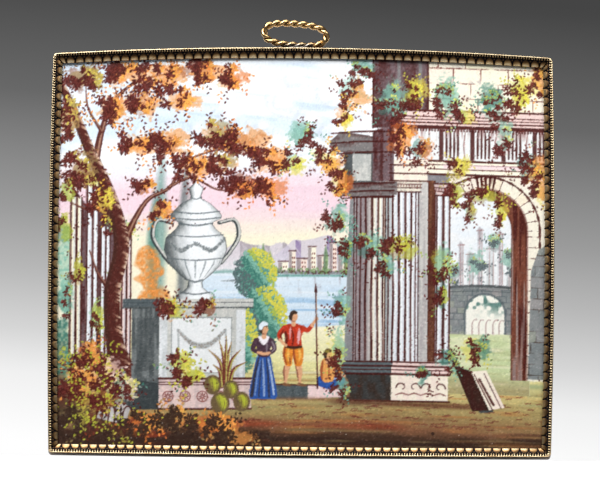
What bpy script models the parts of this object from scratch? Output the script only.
"""Painted enamel plaque in a stamped gilt-brass frame, with a twisted-wire hanging loop.

Blender 4.5, metres, +Z up. Run: blender --background --python part.py

The plaque is shown as it hangs: X runs along its width, Z up, and its picture faces -Y. The
origin is the point where a hook bears, under the loop's top run and over the plaque's middle.
The enamel is domed towards the viewer and the frame follows it, so the depth of every piece is
counted from one sphere, whose crown is at the middle of the frame's front.
"""

import math

import bmesh
import bpy
import numpy as np

# Outline of the frame, over its side wall
WIDTH = 0.1650             # across the middle
HEIGHT = 0.1358            # up the middle
SIDE_BOW = 0.0008          # swell of each upright edge past its corners
TOP_BOW = 0.0014           # swell of the top and bottom edges past their corners
CORNER_RADIUS = 0.0012     # outside corner of the strip
DOME_RADIUS = 0.580        # sphere that the enamel and the frame follow

# Enamel plate
ENAMEL_THICKNESS = 0.0014
CLEARANCE = 0.0003         # left between pieces that touch
PLATE_COLUMNS = 16
PLATE_ROWS = 14

# Stamped strip, from its side wall inwards
SHEET = 0.0004
BEAD_WIDTH = 0.0012
BEAD_RISE = 0.0005         # bead's crest above the groove inside it
COVE_WIDTH = 0.0019        # lobed slope between the groove and the enamel
COVE_DROP = 0.0023         # slope's lower edge behind the bead's crest
LOBE_PITCH = 0.0030
LOBE_RISE = 0.00025        # crest of a lobe above the slope's middle line, valley below it
LOBE_REACH = 0.0003        # crest of a lobe past the slope's edge, valley short of it
BACK_LIP = 0.0024          # strip turned over the enamel's back, from the side wall
MITRE_ROUND = 0.00015      # rounding left at the inner corners
LOBES_PER_BACK_STEP = 3    # the plain back needs fewer stations than the lobed front

# Hanging loop, an oval ring of two twisted wires
LOOP_WIDTH = 0.0226        # over the wires
LOOP_HEIGHT = 0.0095
ROPE_DIAMETER = 0.0023
ROPE_WAIST = 0.55          # rope's thickness between its wires, as a share of its diameter
TWIST_PITCH = 0.0057       # one full turn of the two wires
OVAL_POWER = 2.6           # 2 is an ellipse, more is squarer
LOOP_OFFSET = -0.0026      # ring's centre from the plaque's middle
LOOP_TILT = math.radians(4.5)
LOOP_SETBACK = 0.0022      # ring's middle plane behind the bead's crest
SEAT_DEPTH = 0.0004        # how much of the ring is worn flat where it is soldered down
STATIONS_PER_TURN = 12
ROPE_SIDES = 8

# Worked out from the sizes above
CORNER_X = WIDTH / 2 - SIDE_BOW
CORNER_Z = HEIGHT / 2 - TOP_BOW
LIP_INSET = BEAD_WIDTH + COVE_WIDTH
LIP_BACK = COVE_DROP + SHEET
ENAMEL_FACE = LIP_BACK + CLEARANCE
BACK_LIP_FRONT = ENAMEL_FACE + ENAMEL_THICKNESS + CLEARANCE
STRIP_DEPTH = BACK_LIP_FRONT + SHEET
PLATE_INSET = SHEET + CLEARANCE


def half_width(z):
    """Half the frame's width at height z. The upright edges swell as a parabola."""
    return WIDTH / 2 - SIDE_BOW * (z / CORNER_Z) ** 2


def half_height(x):
    """Half the frame's height at x. The top and bottom edges swell as a parabola."""
    return HEIGHT / 2 - TOP_BOW * (x / CORNER_X) ** 2


def dome(x, z):
    """How far the sphere has fallen back at x, z from its crown."""
    return DOME_RADIUS - np.sqrt(DOME_RADIUS**2 - x**2 - z**2)


def lobe_count(half_run):
    """Whole lobes on an edge that runs from -half_run to half_run."""
    return max(1, round(2 * half_run / LOBE_PITCH))


def run_stations(half_run, shift):
    """Places along one edge, a valley and a crest for each lobe.

    An inner ring's edge is shorter by shift at each end. Its stations stay square across the
    strip, and only the last few bunch up towards the mitre, as a square curve that meets the
    straight part without a step.
    """
    along = np.linspace(-half_run, half_run, 2 * lobe_count(half_run) + 1)
    to_corner = half_run - np.abs(along)
    bunched = to_corner**2 / (4 * max(shift, 1e-9))
    squeezed = np.where(to_corner < 2 * shift, bunched, to_corner - shift)
    return np.sign(along) * (half_run - shift - squeezed)


def lobe_wave(half_run):
    """-1 at each valley and +1 at each crest along one edge."""
    wave = -np.ones(2 * lobe_count(half_run) + 1)
    wave[1::2] = 1.0
    return wave


def corner_point(first, last):
    """Middle of a round corner between the ends of two edges, on a quarter ellipse."""
    outer = np.sign(first + last) * np.maximum(np.abs(first), np.abs(last))
    inner = first + last - outer
    return inner + (outer - inner) / math.sqrt(2)


def ring(inset, depth, reach=0.0, rise=0.0):
    """One closed ring of the strip, clockwise from the top left as the viewer sees it.

    inset is counted from the side wall and depth from the beads' crest. reach moves crests
    inwards and valleys outwards, and rise lifts crests and sinks valleys.
    """
    radius = max(CORNER_RADIUS - inset, MITRE_ROUND)
    shift = inset + radius - CORNER_RADIUS
    top_run = CORNER_X - CORNER_RADIUS
    side_run = CORNER_Z - CORNER_RADIUS
    x, x_wave = run_stations(top_run, shift), lobe_wave(top_run)
    z, z_wave = run_stations(side_run, shift), lobe_wave(side_run)
    up = half_height(x) - inset - reach * x_wave
    out = half_width(z) - inset - reach * z_wave
    edges = [
        np.stack([x, up], 1),
        np.stack([out, z], 1)[::-1],
        np.stack([x, -up], 1)[::-1],
        np.stack([-out, z], 1),
    ]
    waves = [x_wave, z_wave, x_wave, z_wave]
    rows = []
    lifts = []
    for side in range(4):
        rows.append(edges[side])
        lifts.append(waves[side])
        rows.append([corner_point(edges[side][-1], edges[(side + 1) % 4][0])])
        lifts.append([-1.0])
    flat = np.concatenate(rows)
    lift = np.concatenate(lifts) * rise
    y = dome(flat[:, 0], flat[:, 1]) + depth - lift
    return np.stack([flat[:, 0], y, flat[:, 1]], 1)


def plain_stations():
    """Stations that the plain back keeps: every few lobes, each edge's ends and each corner."""
    kept = []
    start = 0
    for half_run in (CORNER_X - CORNER_RADIUS, CORNER_Z - CORNER_RADIUS) * 2:
        last = 2 * lobe_count(half_run)
        kept += range(start, start + last, 2 * LOBES_PER_BACK_STEP)
        kept += [start + last, start + last + 1]
        start += last + 2
    return kept


def add_ring(bm, points):
    """Vertices of one ring, in order."""
    return [bm.verts.new(p) for p in points]


def join_rings(bm, first, second):
    """A band of four-sided faces between two rings of as many points."""
    count = len(first)
    for k in range(count):
        n = (k + 1) % count
        bm.faces.new((first[k], first[n], second[n], second[k]))


def fan_rings(bm, fine, plain, kept):
    """A band of triangles between a ring with every station and one with only the kept ones."""
    for j, start in enumerate(kept):
        n = (j + 1) % len(kept)
        span = (kept[n] - start) % len(fine)
        for k in range(start, start + span):
            bm.faces.new((fine[k % len(fine)], fine[(k + 1) % len(fine)], plain[j]))
        bm.faces.new((fine[kept[n]], plain[n], plain[j]))


def new_material(name, colour, metallic, roughness):
    """A Principled material of one colour."""
    material = bpy.data.materials.new(name)
    material.use_nodes = True
    shader = material.node_tree.nodes["Principled BSDF"]
    shader.inputs["Base Color"].default_value = (*colour, 1.0)
    shader.inputs["Metallic"].default_value = metallic
    shader.inputs["Roughness"].default_value = roughness
    return material


def new_object(name, bm, material, collection):
    """A named object from a bmesh, its round parts shaded smooth."""
    mesh = bpy.data.meshes.new(name)
    bm.to_mesh(mesh)
    bm.free()
    mesh.materials.append(material)
    mesh.shade_smooth()
    mesh.set_sharp_from_angle(angle=math.radians(40))
    piece = bpy.data.objects.new(name, mesh)
    collection.objects.link(piece)
    return piece


def make_enamel_plaque(collection):
    """A grid bent to the outline and the dome, with its thickness from Solidify."""
    bm = bmesh.new()
    bmesh.ops.create_grid(bm, x_segments=PLATE_COLUMNS, y_segments=PLATE_ROWS, size=1.0)
    corner_cut = CORNER_RADIUS * (1 - 1 / math.sqrt(2))
    for vertex in bm.verts:
        across, up = vertex.co.x, vertex.co.y
        rough_x = across * (CORNER_X - PLATE_INSET)
        rough_z = up * (CORNER_Z - PLATE_INSET)
        x = across * (half_width(rough_z) - PLATE_INSET)
        z = up * (half_height(rough_x) - PLATE_INSET)
        if abs(across) > 0.999 and abs(up) > 0.999:
            x -= math.copysign(corner_cut, x)
            z -= math.copysign(corner_cut, z)
        vertex.co = (x, dome(x, z) + ENAMEL_FACE, z)
    enamel = new_material("painted enamel", (0.74, 0.68, 0.58), 0.0, 0.12)
    plate = new_object("enamel_plaque", bm, enamel, collection)
    solid = plate.modifiers.new("thickness", "SOLIDIFY")
    solid.thickness = ENAMEL_THICKNESS
    solid.offset = -1.0
    return plate


def make_gilt_frame(collection):
    """The strip as a loft of closed rings, because its section changes from lobe to valley."""
    bm = bmesh.new()
    kept = plain_stations()
    shoulder = add_ring(bm, ring(0.0, BEAD_RISE))
    lobed = [
        shoulder,
        add_ring(bm, ring(BEAD_WIDTH / 2, 0.0)),
        add_ring(bm, ring(BEAD_WIDTH, BEAD_RISE)),
        add_ring(bm, ring(BEAD_WIDTH + COVE_WIDTH / 2, (BEAD_RISE + COVE_DROP) / 2, 0.0, LOBE_RISE)),
        add_ring(bm, ring(LIP_INSET, COVE_DROP, LOBE_REACH)),
        add_ring(bm, ring(LIP_INSET, LIP_BACK, LOBE_REACH)),
    ]
    plain = [
        add_ring(bm, ring(BEAD_WIDTH, BEAD_RISE + SHEET)[kept]),
        add_ring(bm, ring(SHEET, BEAD_RISE + SHEET)[kept]),
        add_ring(bm, ring(SHEET, BACK_LIP_FRONT)[kept]),
        add_ring(bm, ring(BACK_LIP, BACK_LIP_FRONT)[kept]),
        add_ring(bm, ring(BACK_LIP, STRIP_DEPTH)[kept]),
        add_ring(bm, ring(0.0, STRIP_DEPTH)[kept]),
    ]
    for first, second in zip(lobed, lobed[1:]):
        join_rings(bm, first, second)
    fan_rings(bm, lobed[-1], plain[0], kept)
    for first, second in zip(plain, plain[1:]):
        join_rings(bm, first, second)
    fan_rings(bm, shoulder, plain[-1], kept)
    bmesh.ops.recalc_face_normals(bm, faces=bm.faces)
    gilt = new_material("gilt brass, tarnished", (0.40, 0.29, 0.13), 1.0, 0.42)
    return new_object("gilt_frame", bm, gilt, collection)


def oval_path(count):
    """Points at even steps along the ring's middle line, clockwise from its left end, tilted.

    The line is a superellipse: |x/a|^n + |z/b|^n = 1.
    """
    a = (LOOP_WIDTH - ROPE_DIAMETER) / 2
    b = (LOOP_HEIGHT - ROPE_DIAMETER) / 2
    turn = np.linspace(math.pi, -math.pi, 40 * count + 1)
    c, s = np.cos(turn), np.sin(turn)
    x = a * np.sign(c) * np.abs(c) ** (2 / OVAL_POWER)
    z = b * np.sign(s) * np.abs(s) ** (2 / OVAL_POWER)
    length = np.concatenate([[0.0], np.cumsum(np.hypot(np.diff(x), np.diff(z)))])
    even = np.linspace(0.0, length[-1], count + 1)[:-1]
    x, z = np.interp(even, length, x), np.interp(even, length, z)
    tilt_c, tilt_s = math.cos(LOOP_TILT), math.sin(LOOP_TILT)
    return np.stack([x * tilt_c + z * tilt_s, z * tilt_c - x * tilt_s], 1), length[-1]


def loop_turns():
    """Whole turns of the twist round the ring, so that it closes on itself."""
    return max(1, round(oval_path(200)[1] / TWIST_PITCH))


def loop_centre_height():
    """Height of the ring's centre over the frame's top edge, with its seat sunk in solder."""
    lowest = oval_path(200)[0][:, 1].min() - ROPE_DIAMETER / 2
    return CLEARANCE - SEAT_DEPTH - lowest


def hook_height():
    """Height of the bearing point over the frame's top edge: the top run's underside at x = 0."""
    path = oval_path(400)[0]
    top_run = path[path[:, 1] > -path[:, 0] * math.tan(LOOP_TILT)]
    top_run = top_run[np.argsort(top_run[:, 0])]
    middle = np.interp(-LOOP_OFFSET, top_run[:, 0], top_run[:, 1])
    return loop_centre_height() + middle - ROPE_DIAMETER / 2


def make_hanging_loop(collection):
    """The twisted ring: a waisted section, carried round the oval and turned as it goes.

    The section is a hippopede, r = R sqrt(cos^2 + waist^2 sin^2), which is two round wires
    side by side with their gap filled.
    """
    turns = loop_turns()
    path, _ = oval_path(turns * STATIONS_PER_TURN)
    ahead = np.roll(path, -1, axis=0) - np.roll(path, 1, axis=0)
    ahead /= np.linalg.norm(ahead, axis=1)[:, None]
    outward = np.stack([-ahead[:, 1], ahead[:, 0]], 1)
    around = np.arange(ROPE_SIDES) * 2 * math.pi / ROPE_SIDES
    radius = ROPE_DIAMETER / 2 * np.sqrt(np.cos(around) ** 2 + (ROPE_WAIST * np.sin(around)) ** 2)
    seat = CLEARANCE - loop_centre_height()
    bm = bmesh.new()
    rings = []
    for k, centre in enumerate(path):
        angle = around + 2 * math.pi * k / STATIONS_PER_TURN
        in_plane = radius * np.cos(angle)
        points = np.stack([
            centre[0] + outward[k, 0] * in_plane,
            radius * np.sin(angle),
            np.maximum(centre[1] + outward[k, 1] * in_plane, seat),
        ], 1)
        rings.append(add_ring(bm, points))
    for first, second in zip(rings, rings[1:] + rings[:1]):
        join_rings(bm, first, second)
    bmesh.ops.recalc_face_normals(bm, faces=bm.faces)
    wire = new_material("gilt wire, polished", (0.80, 0.58, 0.26), 1.0, 0.25)
    return new_object("hanging_loop", bm, wire, collection)


def main():
    for old in list(bpy.data.objects):
        bpy.data.objects.remove(old, do_unlink=True)
    collection = bpy.data.collections.new("painted_enamel_plaque")
    bpy.context.scene.collection.children.link(collection)
    middle_z = -(HEIGHT / 2 + hook_height())
    middle_y = -(dome(0.0, HEIGHT / 2) + LOOP_SETBACK)
    for piece in (make_enamel_plaque(collection), make_gilt_frame(collection)):
        piece.location = (0.0, middle_y, middle_z)
    loop = make_hanging_loop(collection)
    loop.location = (LOOP_OFFSET, 0.0, loop_centre_height() - hook_height())


main()
